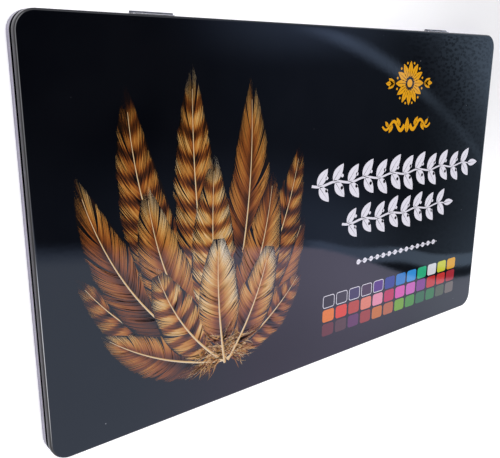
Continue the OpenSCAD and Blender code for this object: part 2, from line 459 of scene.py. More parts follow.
# %% The table's finish
def table_finish():
    plain = {"Specular_IOR_Level": 0.2, "Emission_Color": (1.0, 1.0, 1.0, 1.0)}
    material, tree, shader = new_finish("table_white", **plain)
    cloud = wire(tree, "ShaderNodeTexNoise", {"Scale": 3.0, "Detail": 3.0})
    colour = mixed(cloud, (0.78, 0.775, 0.80, 1.0), (0.82, 0.815, 0.83, 1.0))
    x, y, _ = axes(own_place(tree))
    fade = ramp(ramp(x, -0.12, 0.24) * ramp(y, -0.14, 0.12), 0.0, 1.0, 0.52, 0.08)
    own_light = wire(tree, "ShaderNodeLightPath", output="Is Camera Ray") * fade
    roughness = ramp(cloud, 0.3, 0.7, 0.75, 0.9)
    feed(shader, {"Base Color": colour, "Roughness": roughness, "Emission Strength": own_light})
    return material


table_white = table_finish()
print(table_white.name, "has", len(table_white.node_tree.nodes), "nodes")


# %% Make the table
def circle(steps):
    """The cosine and sine of each of some even steps round a circle."""
    turns = [2 * math.pi * step / steps for step in range(steps)]
    return [(math.cos(turn), math.sin(turn)) for turn in turns]


def ring_faces(rings, spokes, first=0):
    """Faces between rings of points, each ring spokes points long."""
    faces = []
    for row in range(first, first + rings * spokes, spokes):
        for s in range(spokes):
            t = (s + 1) % spokes
            faces.append((row + s, row + spokes + s, row + spokes + t, row + t))
    return faces


def table_sheet(reach=4000.0, rings=12, spokes=48):
    """A round sheet whose rings widen outwards."""
    points = [(0.0, 0.0, 0.0)]
    for ring in range(1, rings + 1):
        radius = reach * (ring / rings) ** 2
        points += [(radius * x, radius * y, 0.0) for x, y in circle(spokes)]
    faces = [(0, 1 + s, 1 + (s + 1) % spokes) for s in range(spokes)]
    return points, faces + ring_faces(rings - 1, spokes, 1)


table = make_piece("table", *table_sheet(), [table_white])
print("table", len(table.data.polygons), "faces")

# %% [markdown]
# ## Printed tinplate
# The lid is printed before it is pressed: black ink, then a clear varnish. It is nearly a mirror, with
# a very shallow orange peel, some hair scratches and the odd speck of dust. The same varnish lies over
# every colour of the print, so its relief and its scratches are one helper that all the inks use.


# %% The varnish and the black ground
def varnished(shader, colour):
    """That colour under a clear coat. Its relief and wear are the same over every ink."""
    tree = colour.tree
    wear = pattern(tree, 28.0, detail=4.0)
    scratch = ramp(pattern(tree, 0.5, (1.0, 0.03, 1.0), 3.0), 0.62, 0.70) * ramp(wear, 0.5, 0.7, 0.0, 0.10)
    swell = relief(pattern(tree, 60.0, detail=1.0), 0.035)
    peel = relief(pattern(tree, 2.6, detail=1.5), 0.003, swell)
    gloss = ramp(wear, 0.35, 0.7, 0.015, 0.04) + scratch
    feed(shader, {"Base Color": colour, "Roughness": gloss, "Normal": peel})


def black_ground():
    material, tree, shader = new_finish("black_print", IOR=1.5)
    black = clouded(tree, (0.0017, 0.0019, 0.0032, 1.0), (0.0030, 0.0033, 0.0050, 1.0), 45.0)
    cells = {"Vector": own_place(tree), "Scale": 170.0}
    near = ramp(wire(tree, "ShaderNodeTexVoronoi", cells, "Distance"), 0.035, 0.07, 1.0, 0.0)
    cell_colour = wire(tree, "ShaderNodeTexVoronoi", cells, "Color")
    dust = near * ramp(wire(tree, "ShaderNodeSeparateColor", {0: cell_colour}), 0.90, 0.96)
    varnished(shader, mixed(dust, black, (0.20, 0.20, 0.22, 1.0)))
    return material


black_print = black_ground()
print("black ground ready")

# %% [markdown]
# ## Bare tinplate
# The base, the inside of the lid and the neck are bare. Tinplate is steel with a thin coat of tin: a
# soft grey mirror with fine lines from rolling, all running one way. The lines come from noise that is
# stretched along the sheet.

# %% Bare tin
tin_bare = grained(
    "bare_tin", (0.54, 0.515, 0.60, 1.0), (0.585, 0.56, 0.645, 1.0), [22.0],
    (0.35, (0.015, 1.0, 1.0), 3.0), (0.3, 0.75, 0.22, 0.36), 0.0012, Metallic=1.0)
print("bare tin ready")

# %% [markdown]
# ## Pressed sheet
# The lid and the base are pans: one profile of thin sheet carried round a rectangle with rounded
# corners. Instead of cutting boxes, a list of loops is made, each a little further along the profile,
# and skinned with faces. The first and last loops are closed with a flat face. This gives real edge
# rolls, a real hem and even shading, from very few numbers.


# %% Loops
def loop(half_length, half_width, radius, z, steps=10):
    """Points round a rectangle with rounded corners, at a height."""
    points = []
    for corner, (side_x, side_y) in enumerate(((1, 1), (-1, 1), (-1, -1), (1, -1))):
        for step in range(steps + 1):
            turn = math.radians(90 * (corner + step / steps))
            x = side_x * (half_length - radius) + radius * math.cos(turn)
            y = side_y * (half_width - radius) + radius * math.sin(turn)
            points.append((x, y, z))
    return points


def pan(profile):
    """Loops for a profile of (inset from the tin's outline, height)."""
    return [
        loop(tin_length / 2 - inset, tin_width / 2 - inset, max(corner_radius - inset, 0.05), z)
        for inset, z in profile
    ]


print("a loop has", len(loop(10, 10, 2, 0)), "points")


# %% Arcs and skins
def arc_at(centre, radius, turns):
    """Points of an arc in a profile, (inset, height). 0 degrees points out of the tin, 90 up."""
    turns = [math.radians(turn) for turn in turns]
    return [(centre[0] - radius * math.cos(turn), centre[1] + radius * math.sin(turn)) for turn in turns]


def arc(centre, radius, start, stop, steps):
    """The same in even steps."""
    return arc_at(centre, radius, [start + (stop - start) * step / steps for step in range(steps + 1)])


def skin(loops, slots=None, closed=False):
    """Faces between loops with as many points each. Ends are capped, unless closed joins them."""
    count = len(loops[0])
    points = [p for each in loops for p in each]
    bands = len(loops) if closed else len(loops) - 1
    slots = slots or [0] * bands
    faces = [tuple(i % len(points) for i in face) for face in ring_faces(bands, count)]
    face_slots = [slots[band] for band in range(bands) for _ in range(count)]
    if not closed:
        faces.append(tuple(range(count)))
        faces.append(tuple(range(len(points) - 1, len(points) - 1 - count, -1)))
        face_slots += [slots[0], slots[-1]]
    return points, faces, face_slots


print("a quarter turn in two steps:", arc((1.0, 0.0), 1.0, 0, 90, 2))

# %% [markdown]
# ## The lid
# The lid's sheet turns down at a small rolled edge. The skirt leans out a little, so that the press lets
# it go, and ends in a hem: the raw edge is folded inwards, so that nobody is cut by it. The outside is
# printed, the inside is bare.

# %% Press the lid
roll_radius = 1.08
roll_centre = (roll_radius + 0.12, tin_top - roll_radius - 0.014)
outer_face = [(12.0, tin_top), (6.0, tin_top), (3.2, tin_top - 0.004), (1.7, tin_top - 0.011)]
outer_roll = arc(roll_centre, roll_radius, 88, 3, 16)
hem_low = skirt_bottom + 0.2
hem_fold = arc((hem / 2, hem_low + hem / 2), hem / 2, 0, -180, 8)
hem_flap = [(hem, skirt_bottom + 1.35), (hem - 0.06, skirt_bottom + 1.5)]
hem_flap += [(plate + 0.04, skirt_bottom + 1.52)]
inner_wall = [(plate + 0.02, skirt_bottom + 1.6)]
inner_roll = arc(roll_centre, roll_radius - plate, 3, 90, 8)
inner_face = [(1.5, tin_top - plate), (2.4, tin_top - plate)]
printed = outer_face + outer_roll + hem_fold
lid_profile = printed + hem_flap + inner_wall + inner_roll + inner_face
lid_slots = [0 if band < len(printed) - 1 else 1 for band in range(len(lid_profile) - 1)]
points, faces, slots = skin(pan(lid_profile), lid_slots)
lid = make_piece("lid_shell", points, faces, [black_print, tin_bare], slots)
settle(lid, "lid", "printed_tinplate", "lid_tin")

# %% [markdown]
# ## The base
# The base is a deeper pan. Its wall stops at a shoulder and steps in to a neck, which the lid closes
# over. The neck ends in a rolled bead. The shoulder and the neck are given the lid's black as painted
# shade: it stands in for the shade in the gap under the lid, so that the gap reads as one dark line, and
# only the bare band below them shows while the tin is shut.

# %% Draw the base's profile
bottom = [(base_edge + 0.9, 0.0), (base_edge + 0.12, 0.0)]
bottom += arc((base_edge, base_edge), base_edge, -90, 0, 10)
shoulder = arc((0.12, shoulder_z - 0.40), 0.12, 0, 90, 5)
neck_foot = [(neck_inset - 0.2, shoulder_z - 0.28), (neck_inset - 0.06, shoulder_z - 0.22)]
neck_foot += [(neck_inset, shoulder_z)]
bead = arc((neck_inset + hem / 2, neck_top - hem / 2), hem / 2, 0, 180, 10)
bead_end = [(neck_inset + hem - 0.02, neck_top - hem), (neck_inset + plate, neck_top - hem - 0.12)]
inside = [(neck_inset + plate, shoulder_z - plate + 0.1), (neck_inset + plate - 0.1, shoulder_z - plate)]
inside += [(plate + 0.2, shoulder_z - plate), (plate, shoulder_z - plate - 0.2)]
inside += arc((base_edge, base_edge), base_edge - plate, 0, -90, 8)
inside += [(base_edge + 0.12, plate), (base_edge + 0.9, plate)]
base_profile = bottom + shoulder + neck_foot + bead + bead_end + inside
print("the base's profile has", len(base_profile), "points")

# %% Press the base
# The bands of the shoulder and the neck take the black print: painted shade for the gap under the lid.
first_shade_band = len(bottom) + 2
last_shade_band = len(bottom) + len(shoulder) + len(neck_foot) + 4
base_slots = [1 if first_shade_band <= band < last_shade_band else 0 for band in range(len(base_profile) - 1)]
points, faces, slots = skin(pan(base_profile), base_slots)
base = make_piece("base_shell", points, faces, [tin_bare, black_print], slots)
settle(base, "base", "bare_tinplate", "base_tin")

# %% [markdown]
# ## The foam liner
# A sheet of soft white foam is glued inside the lid. It presses lightly over the pencils, so that they
# don't rattle and their points don't break. It is a flat pad with softened edges, so the same loops do
# for it. Its pores are too small to model: they are cells of noise in the material's relief.


# %% Cut the foam liner
def foam():
    material, tree, shader = new_finish("white_foam", Specular_IOR_Level=0.25)
    colour = clouded(tree, (0.84, 0.84, 0.83, 1.0), (0.86, 0.86, 0.85, 1.0), 60.0)
    cells = wire(tree, "ShaderNodeTexVoronoi", {"Vector": own_place(tree), "Scale": 1300.0}, "Distance")
    pores = relief(ramp(cells, 0.1, 0.45) + pattern(tree, 9.0), 0.12)
    feed(shader, {"Base Color": colour, "Roughness": ramp(cells, 0.0, 0.6, 0.95, 0.75), "Normal": pores})
    return material


def inset_loops(low, high, radius, profile):
    """Loops inside a box's outline, from a profile of (inset, height)."""
    half_length = (high.x - low.x) / 2
    half_width = (high.y - low.y) / 2
    return [loop(half_length - inset, half_width - inset, radius - inset, z) for inset, z in profile]


soft = 0.3
pad = [(soft + 0.6, liner_low.z), (soft + 0.1, liner_low.z)]
pad += arc((soft, liner_low.z + soft), soft, -90, 0, 5) + arc((soft, liner_high.z - soft), soft, 0, 90, 5)
pad += [(soft + 0.1, liner_high.z), (soft + 0.6, liner_high.z)]
points, faces, _ = skin(inset_loops(liner_low, liner_high, 6.25, pad))
liner = make_piece("foam_liner", points, faces, [foam()])
settle(liner, "lid", "white_foam", "lid_liner")

# %% [markdown]
# ## The formed tray
# The pencils lie in a tray that is drawn by vacuum from one thin white sheet. Its bed has a groove for
# each pencil and drops to a finger trough at the points, so that a pencil can be tipped up and out.
# Round the bed are the walls of the well, a flat rim and a lip.
#
# The bed is a grid: one line across the grooves, repeated along the pencils and pressed flat for the
# trough. The rest is loops. Both halves are closed, so the sheet has a real thickness.

# %% Set the tray's sizes
pencil_count = 36
groove_radius = 4.1037
groove_pitch = 8.6074
groove_middles = [(number - (pencil_count - 1) / 2) * groove_pitch for number in range(pencil_count)]
pencil_z = 4.8037
land_z = pencil_z - 0.6
trough_z = 0.65
well_half_length = 154.935
well_half_width = 92.5
well_corner = 2.5
sheet = 0.35
rim_z = frame_high.z
print("tray rim at", round(rim_z, 3), "mm, pencils at", pencil_z, "mm")


# %% Draw the line across the grooves
def groove_line():
    """Points across one groove, from its middle: how far sideways, and the height."""
    points = [(-4.14, land_z), (-4.085, land_z - 0.03), (-4.062, land_z - 0.11)]
    for step in range(13):
        turn = math.radians(-78 + 156 * step / 12)
        points.append((groove_radius * math.sin(turn), pencil_z - groove_radius * math.cos(turn)))
    return points + [(-x, z) for x, z in reversed(points[:3])]


bed_line = [(-well_half_length, land_z)]
bed_line += [(middle + x, z) for middle in groove_middles for x, z in groove_line()]
bed_line += [(well_half_length, land_z)]
print(len(bed_line), "points across the bed")


# %% Lay the bed's rows
def bed_row(y, flat):
    """The line across the bed at y, pressed towards the trough's floor by flat, from 0 to 1."""
    past = max(0.0, abs(y) - (well_half_width - well_corner))
    cut_in = well_corner - math.sqrt(max(well_corner**2 - past**2, 0.0))
    last = groove_middles[-1]
    squeeze = (well_half_length - cut_in - last) / (well_half_length - last)
    row = []
    for x, z in bed_line:
        if abs(x) > last:
            x = math.copysign(last + (abs(x) - last) * squeeze, x)
        row.append((x, y, z + (trough_z - z) * flat))
    return row


corner_ys = [-92.5, -92.3, -91.8, -91.0, -90.0]
trough_step = [
    (66.9, 0.0), (67.1, 0.03), (67.2, 0.15), (67.33, 0.5), (67.46, 0.85), (67.56, 0.97), (67.8, 1.0),
]
bed_rows = [bed_row(y, 0.0) for y in corner_ys]
bed_rows += [bed_row(y, flat) for y, flat in trough_step]
bed_rows += [bed_row(-y, 1.0) for y in reversed(corner_ys)]
print("the bed has", len(bed_rows), "rows")


# %% Form the bed
def sheet_from_rows(rows, thickness):
    """A closed sheet: the rows on top, the same rows a thickness lower, and a strip round the edge."""
    wide, long = len(rows[0]), len(rows)
    top = [p for row in rows for p in row]
    under = len(top)
    faces = []
    for corner in range(under - wide):
        if (corner + 1) % wide:
            face = (corner, corner + 1, corner + wide + 1, corner + wide)
            faces += [face, tuple(under + i for i in (face[0], face[3], face[2], face[1]))]
    edge = list(range(wide)) + [r * wide + wide - 1 for r in range(1, long)]
    edge += [(long - 1) * wide + c for c in range(wide - 2, -1, -1)]
    edge += [r * wide for r in range(long - 2, 0, -1)]
    faces += [(b, a, under + a, under + b) for a, b in zip(edge, edge[1:] + edge[:1])]
    return top + [(x, y, z - thickness) for x, y, z in top], faces


bed = sheet_from_rows(bed_rows, sheet - 0.01)
print("bed", len(bed[1]), "faces")

# %% Form the walls, the rim and the lip
rim_corner = 6.85


def well_loops(profile):
    """Loops from a profile of (distance out from the well's outline, height)."""
    return [loop(well_half_length + out, well_half_width + out, well_corner + out, z) for out, z in profile]


wall = [(0.0, trough_z - 0.3), (0.0, land_z), (0.0, rim_z - 0.6)]
wall += arc_at((0.6, rim_z - 0.6), 0.6, (20, 45, 70, 90))
lip = arc_at((0.5, rim_z - 0.5), 0.5, (90, 65, 40, 15, 0))
lip += [(0.0, rim_z - 1.9), (0.05, rim_z - 2.0), (sheet, rim_z - 2.0)]
lip += [(sheet, rim_z - 0.6), (sheet + 0.25, rim_z - sheet)]
wall_back = [(sheet + 0.35, rim_z - sheet), (sheet, rim_z - 0.75), (sheet, trough_z - 0.3)]
lip_loops = inset_loops(frame_low, frame_high, rim_corner, lip)
surround = skin(well_loops(wall) + lip_loops + well_loops(wall_back), closed=True)[:2]
print("rim", len(surround[1]), "faces")


# %% Put the tray together
def tray_plastic():
    material, tree, shader = new_finish("tray_plastic", IOR=1.5)
    colour = clouded(tree, (0.80, 0.80, 0.79, 1.0), (0.87, 0.87, 0.86, 1.0), 35.0)
    rub = ramp(pattern(tree, 1.4, (1.0, 0.15, 1.0), 3.0), 0.35, 0.7, 0.26, 0.42)
    ripple = relief(pattern(tree, 5.0, detail=3.0), 0.03)
    feed(shader, {"Base Color": colour, "Roughness": rub, "Normal": ripple})
    return material


tray = make_piece("formed_tray", *gather([bed, surround]), [tray_plastic()], sharp_above=55.0)
settle(tray, "base", "white_tray_plastic", "tray_bed", "tray_frame")

# %% [markdown]
# ## The pencils
# A coloured pencil is six-sided, so that it doesn't roll, and its edges are softened for the fingers.
# The sharpener cuts a round cone into the six-sided stick. Where a flat side meets the cone the cut
# reaches nearer to the point, which gives the painted edge its row of curves. That edge isn't drawn
# here: it falls out of the sizes, because the cone's depth follows from the section's radius.

# %% Draw the pencil's section
flats = 6.9
lead_radius = 1.6
point_radius = 0.25
butt_y = -91.5
point_y = 83.5
slope = math.tan(math.radians(11.5))


def pencil_section(turn, soften=0.6):
    """Angle and radius of each point round a six-sided stick with softened edges."""
    centre = (flats / 2 - soften) / math.cos(math.radians(30))
    around = []
    for corner in range(6):
        towards = math.radians(60 * corner + 90 + turn)
        for step in range(-2, 3):
            spread = towards + math.radians(step * 15)
            x = centre * math.cos(towards) + soften * math.cos(spread)
            z = centre * math.sin(towards) + soften * math.sin(spread)
            around.append((x, z))
    section = []
    for (x1, z1), (x2, z2) in zip(around, around[1:] + around[:1]):
        parts = 4 if math.dist((x1, z1), (x2, z2)) > 1.0 else 1
        for part in range(parts):
            x = x1 + (x2 - x1) * part / parts
            z = z1 + (z2 - z1) * part / parts
            section.append((math.atan2(z, x), math.hypot(x, z)))
    return section


print(len(pencil_section(0)), "points round a pencil")


# %% Sharpen a stick
def pencil_profile(r):
    """Depth behind the point and radius of each ring, butt first, where the stick's own radius is r."""
    length = point_y - butt_y
    lead_depth = (lead_radius - point_radius) / slope
    paint_end = (r - point_radius) / slope
    wood_end = (r - 0.06 - point_radius) / slope
    rings = [(length, lead_radius), (length, r - 0.16), (length - 0.14, r), (length - 0.6, r)]
    rings += [(paint_end + 0.6, r), (paint_end + 0.05, r)]
    cone = [lead_depth + (wood_end - lead_depth) * share for share in (1.0, 0.66, 0.33, 0.0)]
    rings += [(depth, point_radius + depth * slope) for depth in cone]
    rings += [(lead_depth - 0.06, lead_radius - 0.05)]
    rings += [(depth, point_radius + depth * slope) for depth in (lead_depth * 0.5, 0.9)]
    return rings + [(0.15, point_radius), (0.0, 0.12)]


paint, wood, lead = 0, 1, 2
pencil_bands = [wood] * 2 + [paint] * 3 + [wood] * 4 + [lead] * 5


def pencil_mesh(turn, place_x):
    """Points, faces and materials of one sharpened pencil. Both ends are lead."""
    section = pencil_section(turn)
    rings = []
    for ring in zip(*[pencil_profile(r) for _, r in section]):
        rings.append([
            (place_x + out * math.cos(angle), point_y - depth, pencil_z + out * math.sin(angle))
            for (angle, _), (depth, out) in zip(section, ring)
        ])
    points, faces, slots = skin(rings, pencil_bands)
    slots[-2:] = [lead, lead]
    return points, faces, slots


print("a pencil is", point_y - butt_y, "mm long")

# %% [markdown]
# ## Paint, wood and lead
# Each pencil has three finishes. The paint is dipped in several coats, so it is glossy and a little
# uneven. The wood of the cut cone is bare: pale, with grain that runs along the stick. The lead is
# pigment in wax, with a dull sheen. One loop mixes a paint and a lead for each colour; wood is shared.


# %% Finishes of a pencil
def bare_wood():
    material, tree, shader = new_finish("pencil_wood", Specular_IOR_Level=0.3)
    grain = pattern(tree, 0.55, (1.0, 0.05, 1.0), 4.0)
    colour = mixed(ramp(grain, 0.35, 0.68), (0.50, 0.27, 0.12, 1.0), (0.78, 0.55, 0.33, 1.0))
    roughness = ramp(grain, 0.3, 0.7, 0.75, 0.55)
    feed(shader, {"Base Color": colour, "Roughness": roughness, "Normal": relief(grain, 0.05)})
    return material


def pencil_paint(name, colour):
    return grained(
        "paint_" + name, darker(colour, 0.88), colour, (6.0, (1.0, 0.2, 1.0)),
        (1.6, (1.0, 0.25, 1.0)), (0.3, 0.7, 0.14, 0.24), 0.012, IOR=1.48)


def pencil_lead(name, colour):
    return grained(
        "lead_" + name, darker(colour, 0.82), colour, [0.5],
        (0.25, None, 3.0), (0.3, 0.7, 0.42, 0.62), 0.02, Specular_IOR_Level=0.35)


pencil_wood = bare_wood()
print("wood, paint and lead ready")

# %% The set's colours
colour_chart = """
black 17171b  charcoal 2e2b33  indigo 332b5c  plum 3f2440  violet 56268c  ultramarine 2a3f9e
azure 2f86d8  sky 3fa0ee  mint 35c08c  white eeeef4  lemon e0e03a  amber f6b414
orange f58220  vermilion ee4423  brick c4442c  salmon f08a70  pink f59ab6  crimson cc2c5c
orchid e55fbd  mauve d86ac8  purple 8c3c9c  red d23430  scarlet dc3c38  ruby b8303c
maroon 6e2c30  umber 58383a  grape 663064  russet a83c30  ochre d4782a  copper c06a40
lime 7cb02c  leaf 4f9a3c  pine 2c7048  emerald 2f7f48  olive 55604a  taupe 766a64
""".split()
pencil_colours = list(zip(colour_chart[0::2], colour_chart[1::2]))
print(len(pencil_colours), "colours, from", pencil_colours[0][0], "to", pencil_colours[-1][0])

# %% Lay the pencils in their grooves
dice = random.Random(36)
for number, ((name, code), middle) in enumerate(zip(pencil_colours, groove_middles)):
    at_edge = number in (0, pencil_count - 1)
    turn = 0.0 if at_edge else dice.uniform(-14, 14)
    points, faces, slots = pencil_mesh(turn, middle)
    finishes = [pencil_paint(name, ink(code)), pencil_wood, pencil_lead(name, ink(code))]
    pencil = make_piece(f"pencil_{name}", points, faces, finishes, slots, sharp_above=35.0)
    settle(pencil, "base", f"pencil_{name}", f"pencil_{number + 1:02d}")

# %% [markdown]
# ## The hinges
# Each hinge is two leaves of thin steel strip and a wire pin. The strip's edge is rolled round the pin,
# so the end of each knuckle shows the sheet and the seam where it closes. The base's leaf has two
# knuckles and the lid's leaf has the one between them. A centre line is drawn in section, given a
# thickness and pulled along x.

# %% Draw the leaves in section
pin_y = tin_width / 2 + 0.7
pin_z = skirt_bottom - 0.9
leaf_y = tin_width / 2 + 0.19
strip_thickness = 0.28
curl_radius = 0.51
curl_turn, curl_steps = 318, 28
low_edge, high_edge = 2.4, tin_top - 1.3


def flat_line(way, far_z):
    """The flat of a leaf, from its far edge towards the pin: upwards if way is 1, downwards if -1."""
    return [(leaf_y, far_z + way * down) for down in (0.0, 0.08, 0.3, 0.7, 1.2, 1.6)]


def curl_line(way, far_z):
    """From the leaf's far edge to the pin and round it. way is 1 for over the pin, -1 for under."""
    line = flat_line(way, far_z) + [(leaf_y, pin_z - way * 0.7), (leaf_y, pin_z - way * 0.2)]
    for step in range(curl_steps + 1):
        turn = math.radians(curl_turn * step / curl_steps)
        line.append((pin_y - curl_radius * math.cos(turn), pin_z + way * curl_radius * math.sin(turn)))
    return line


base_curl, lid_curl = curl_line(1, low_edge), curl_line(-1, high_edge)
base_flat = flat_line(1, low_edge) + [(leaf_y, pin_z - 0.95)]
lid_flat = flat_line(-1, high_edge) + [(leaf_y, pin_z + 0.95)]
print("knuckle radius", curl_radius + strip_thickness / 2, "mm, pin at", round(pin_y, 2), round(pin_z, 2))


# %% Pull a strip
def strip(line, start, stop, round_side=0, corner=1.6):
    """A closed strip: a line of (y, z) pulled from one x to another, one far corner rounded if asked."""
    points = []
    for i, (y, z) in enumerate(line):
        y0, z0 = line[max(i - 1, 0)]
        y1, z1 = line[min(i + 1, len(line) - 1)]
        long = math.hypot(y1 - y0, z1 - z0)
        out_y = -(z1 - z0) / long * strip_thickness / 2
        out_z = (y1 - y0) / long * strip_thickness / 2
        short = max(corner - math.dist(line[i], line[0]), 0.0)
        cut = corner - math.sqrt(corner**2 - short**2)
        for x in (start + (cut if round_side < 0 else 0.0), stop - (cut if round_side > 0 else 0.0)):
            points += [(x, y + out_y, z + out_z), (x, y - out_y, z - out_z)]
    faces = []
    for a in range(0, 4 * (len(line) - 1), 4):
        b = a + 4
        faces += [(a, b, b + 2, a + 2), (a + 1, a + 3, b + 3, b + 1)]
        faces += [(a, a + 1, b + 1, b), (a + 2, b + 2, b + 3, a + 3)]
    last = len(points) - 4
    return points, faces + [(0, 2, 3, 1), (last, last + 1, last + 3, last + 2)]


print("a strip in the flat has", len(strip(base_flat, 0, 1)[1]), "faces")


# %% Raise a weld mark
def weld_mark(x, z, radius, height=0.14, rings=4, spokes=16):
    """A low round button where a spot weld holds the leaf."""
    face_y = leaf_y + strip_thickness / 2 - 0.02
    points = []
    for share in [ring / rings for ring in range(rings)]:
        out = radius * (1 - share)
        rise = height * math.sin(share * math.pi / 2)
        points += [(x + out * across, face_y + rise, z + out * up) for across, up in circle(spokes)]
    points.append((x, face_y + height, z))
    top = (rings - 1) * spokes
    cap = [(top + s, rings * spokes, top + (s + 1) % spokes) for s in range(spokes)]
    return points, [tuple(range(spokes))] + ring_faces(rings - 1, spokes) + cap


print("a weld mark has", len(weld_mark(0, 0, 1)[0]), "points")

# %% Make the hinges
steel_grain = (0.2, (0.05, 1.0, 1.0), 3.0), (0.3, 0.7, 0.22, 0.38), 0.004
# The leaf's pale steel is painted light: it stands in for a bright reflection on the flat of the strip.
lit_leaf_steel = grained(
    "leaf_painted_light", (0.62, 0.62, 0.68, 1.0), (0.74, 0.74, 0.80, 1.0), [3.0], *steel_grain, Metallic=0.2)
# The knuckle's dark steel is painted shade: it stands in for a dark reflection on the rolled strip.
shaded_knuckle_steel = grained(
    "knuckle_painted_shade", (0.12, 0.12, 0.135, 1.0), (0.20, 0.20, 0.22, 1.0), [3.0], *steel_grain, Metallic=0.9)
hinge_middle = 101.0
hinge_half = 10.5
weld_places = (-7.5, 0.0, 7.5)


def make_leaf(part, side, middle, inner, centre_line, side_line, weld_z, weld_radius):
    """One leaf: a piece in its middle, one on each side with a rounded corner, and three welds."""
    parts = [strip(centre_line, middle - inner, middle + inner)]
    parts.append(strip(side_line, middle - hinge_half, middle - inner, -1))
    parts.append(strip(side_line, middle + inner, middle + hinge_half, 1))
    parts += [weld_mark(middle + across, weld_z, weld_radius) for across in weld_places]
    points, faces = gather(parts)
    ys = [sum(points[i][1] for i in face) / len(face) for face in faces]
    # Faces out at the knuckle take the dark, painted-shade steel; the flat takes the pale, painted-light
    # steel.
    slots = [1 if y > leaf_y + 0.3 else 0 for y in ys]
    leaf = make_piece(f"{part}_leaf_{side}", points, faces, [lit_leaf_steel, shaded_knuckle_steel], slots, 30.0)
    settle(leaf, part, "hinge_steel", f"{part}_hinge_leaf_{side}")


for side, middle in (("left", -hinge_middle), ("right", hinge_middle)):
    make_leaf("base", side, middle, 4.5, base_flat, base_curl, weld_z=3.9, weld_radius=0.85)
    make_leaf("lid", side, middle, 4.2, lid_curl, lid_flat, weld_z=9.0, weld_radius=0.6)

# %% [markdown]
# ## The pins
# The hinge pins are plain drawn wire, and the CAD already has their shape. They keep their own meshes
# and only get a finish: bright wire with fine lines round it, from noise squeezed along the pin.

# %% Finish the pins
drawn_wire = grained(
    "pin_wire", (0.50, 0.50, 0.52, 1.0), (0.62, 0.62, 0.64, 1.0), [1.5],
    (0.15, (6.0, 1.0, 1.0), 3.0), (0.3, 0.7, 0.18, 0.34), 0.003, Metallic=1.0)
for side in ("left", "right"):
    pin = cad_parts[f"hinge_pin_{side}"]
    pin.data.materials.clear()
    pin.data.materials.append(drawn_wire)
    print(pin.name, "finished")

# %% [markdown]
# ## The print on the lid
# The lid's picture and its lines of print are ink on the black ground, under the same varnish. Image
# textures aren't used here, so each shape of ink is real geometry: a flat mesh a few hundredths of a
# millimetre above the sheet. That keeps every edge sharp at any distance, and the varnish's relief and
# wear run straight on across it, because all of them read the object's coordinates.
#
# Places on the print are measured as on a printer's sheet: across from the left edge of the lid's flat
# face and down from the hinge edge, both in millimetres.

# %% Helpers that place ink
ink_lift = 0.012
layer_step = 0.0006


def on_lid(across, down, layer=0):
    """A point on the lid's face. Each layer lies a little higher than the last."""
    z = tin_top + ink_lift + layer * layer_step
    return lid_low.x + lid_edge + across, lid_high.y - lid_edge - down, z


def blob(outline, layer=2):
    """One flat shape of ink from its outline, as points and faces."""
    points = [on_lid(a, d, layer) for a, d in outline]
    area = sum(p[0] * q[1] - q[0] * p[1] for p, q in zip(points, points[1:] + points[:1]))
    if area < 0:
        points.reverse()
    return points, [tuple(range(len(points)))]


def print_ink(name, code, spread=0.90, depth=1.0):
    """Flat ink that the screen of the press leaves slightly uneven, under the varnish."""
    material, tree, shader = new_finish("ink_" + name, IOR=1.5)
    colour = ink(code, depth)
    varnished(shader, clouded(tree, darker(colour, spread), colour, 0.9))
    return material


print("the print's upper left corner is at", [round(c, 2) for c in on_lid(0, 0)], "mm")

# %% [markdown]
# ## The colour chart
# Under the lines of print is a chart with a swatch for each pencil: three rows of twelve rounded
# squares. The five darkest would vanish on black, so they have a fine white outline: a white square
# with a slightly smaller dark one over it.

# %% Print the chart
chart_left, chart_top = 167.2, 153.2
swatch_pitch, row_pitch = 11.22, 9.1
swatch_wide, swatch_high, swatch_round = 9.7, 8.0, 1.7
white_ink = print_ink("white", "ece9f5", 0.93)


def swatch(across, down, rim, layer):
    """A rounded square of ink, made smaller all round by the rim."""
    square = loop(swatch_wide / 2 - rim, swatch_high / 2 - rim, swatch_round - rim, 0.0, 5)
    return blob([(across + swatch_wide / 2 + x, down + swatch_high / 2 + y) for x, y, _ in square], layer)


chart_parts, chart_inks, chart_slots = [], [white_ink], []
for number, (name, code) in enumerate(pencil_colours):
    across = chart_left + number % 12 * swatch_pitch
    down = chart_top + number // 12 * row_pitch
    outlined = number < 5
    if outlined:
        chart_parts.append(swatch(across, down, 0.0, 0))
        chart_slots.append(0)
    chart_parts.append(swatch(across, down, 0.42 if outlined else 0.0, 4))
    chart_inks.append(print_ink(name, code, depth=0.85))
    chart_slots.append(number + 1)
chart = make_piece("colour_chart", *gather(chart_parts), chart_inks, chart_slots)
settle(chart, "lid", "printed_tinplate")

# %% [markdown]
# ## Leaf ornaments
# The lines beside the picture are borders of leaves: two broad ones in white and a fine one of dots,
# and in gold a rosette with a scroll below it. Every ornament is built from three shapes: a leaf, a dot
# and a stroke that follows a curve. A leaf is printed as two halves, so that the black between them
# draws its rib.


# %% Leaves and dots
def turned_to(angle):
    """The unit direction of an angle in degrees, anticlockwise from the right, on the print."""
    return math.cos(math.radians(angle)), -math.sin(math.radians(angle))


def leaf_halves(across, down, angle, length, width, rib=0.4):
    """A leaf from its foot, pointing along an angle."""
    ahead, up = turned_to(angle)
    halves = []
    for side in (-1, 1):
        outline = []
        for s in [step / 10 for step in range(11)]:
            out = width / 2 * math.sin(math.pi * s**0.8) ** 0.85 if 0 < s < 1 else 0.0
            outline.append((s * length, side * max(out, rib / 2 * (1 - s))))
        outline += [(length * s, side * rib / 2 * (1 - s)) for s in (0.75, 0.5, 0.25)]
        halves.append(blob([(across + ahead * a - up * b, down + up * a + ahead * b) for a, b in outline]))
    return halves


def dot(across, down, radius, layer=2, steps=14):
    return blob([(across + radius * x, down + radius * y) for x, y in circle(steps)], layer)


